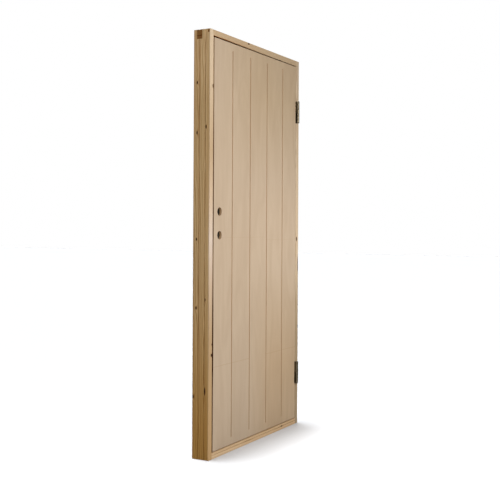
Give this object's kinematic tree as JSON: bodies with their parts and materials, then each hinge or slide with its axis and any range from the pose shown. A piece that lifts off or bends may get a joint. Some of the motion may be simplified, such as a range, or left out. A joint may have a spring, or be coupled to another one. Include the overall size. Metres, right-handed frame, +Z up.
{
  "type": "storage door",
  "caption": "Timber storage door: a grooved plywood leaf that opens outwards on lift-off hinges in a rebated pine frame with a low threshold, bored for lock and handle.",
  "frame": {"origin": "centre of the threshold's underside, in the middle of the frame's depth", "axes": "+Z up; +X to the right seen from the front, towards the hinges; +Y away behind the front, so the leaf opens towards -Y"},
  "size_m": [0.89, 0.1015, 1.89],
  "materials": {
    "pine": "planed, untreated",
    "plywood": "sanded, untreated",
    "insulation_board": "cellular board",
    "zinc_plated_steel": "zinc plated",
    "hinge_steel": "zinc plated, dulled"
  },
  "bodies": {
    "frame": {"lock_jamb": "pine", "hinge_jamb": "pine", "head": "pine", "threshold": "pine", "strike_plate": "zinc_plated_steel", "upper_hinge_frame_half": "hinge_steel", "upper_hinge_pin": "hinge_steel", "lower_hinge_frame_half": "hinge_steel", "lower_hinge_pin": "hinge_steel"},
    "leaf": {"lock_stile": "pine", "hinge_stile": "pine", "top_rail": "pine", "bottom_rail": "pine", "lock_block": "pine", "front_skin": "plywood", "back_skin": "plywood", "leaf_core": "insulation_board", "lock_case": "zinc_plated_steel", "lock_forend": "zinc_plated_steel", "lock_follower": "zinc_plated_steel", "latch_bolt": "zinc_plated_steel", "dead_bolt": "zinc_plated_steel", "upper_hinge_door_half": "hinge_steel", "lower_hinge_door_half": "hinge_steel"}
  },
  "joints": [
    {"name": "door_swing", "type": "hinge", "parent": "frame", "child": "leaf", "pos_m": [0.4145, -0.052, 0.945], "axis": [0, 0, 1], "range_deg": [0, 180]}
  ]
}
